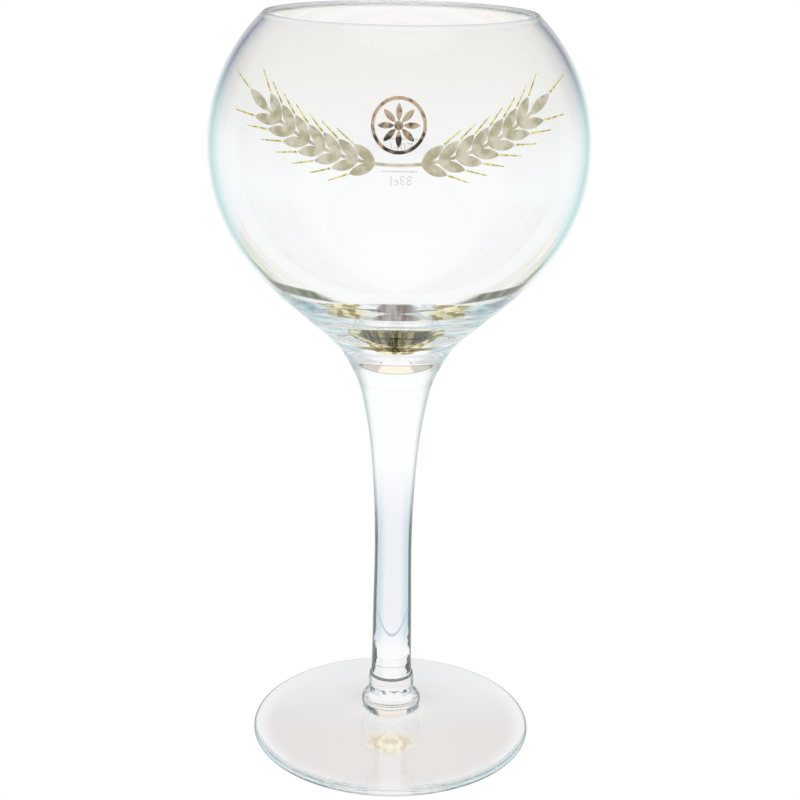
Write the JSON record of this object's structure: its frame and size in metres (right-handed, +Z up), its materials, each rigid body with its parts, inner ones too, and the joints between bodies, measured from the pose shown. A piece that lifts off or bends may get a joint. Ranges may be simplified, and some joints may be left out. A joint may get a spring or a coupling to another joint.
{
  "type": "stemmed beer glass",
  "caption": "Tall stemmed beer glass with a round tulip bowl, a solid flared stem, a disc foot and fired enamel decoration.",
  "frame": {"origin": "centre of the ring that the foot rests on, at table height", "axes": "+Z up along the glass's axis, -Y towards the decorated front of the bowl, +X to the right as seen from the front"},
  "size_m": [0.1388, 0.1389, 0.2832],
  "materials": {
    "clear_glass": "clear fire-polished soda-lime glass",
    "cream_enamel": "fired cream enamel, satin",
    "gold_enamel": "fired yellow gold enamel, satin",
    "bronze_print": "metallic bronze lustre print",
    "white_enamel": "fired grey-white enamel, satin"
  },
  "bodies": {
    "root": {"bowl": "clear_glass", "stem": "clear_glass", "foot": "clear_glass", "front_motif": "cream_enamel", "motif_edge": "gold_enamel", "medallion": "bronze_print", "mark_33": "white_enamel", "mark_50": "white_enamel"}
  },
  "joints": []
}
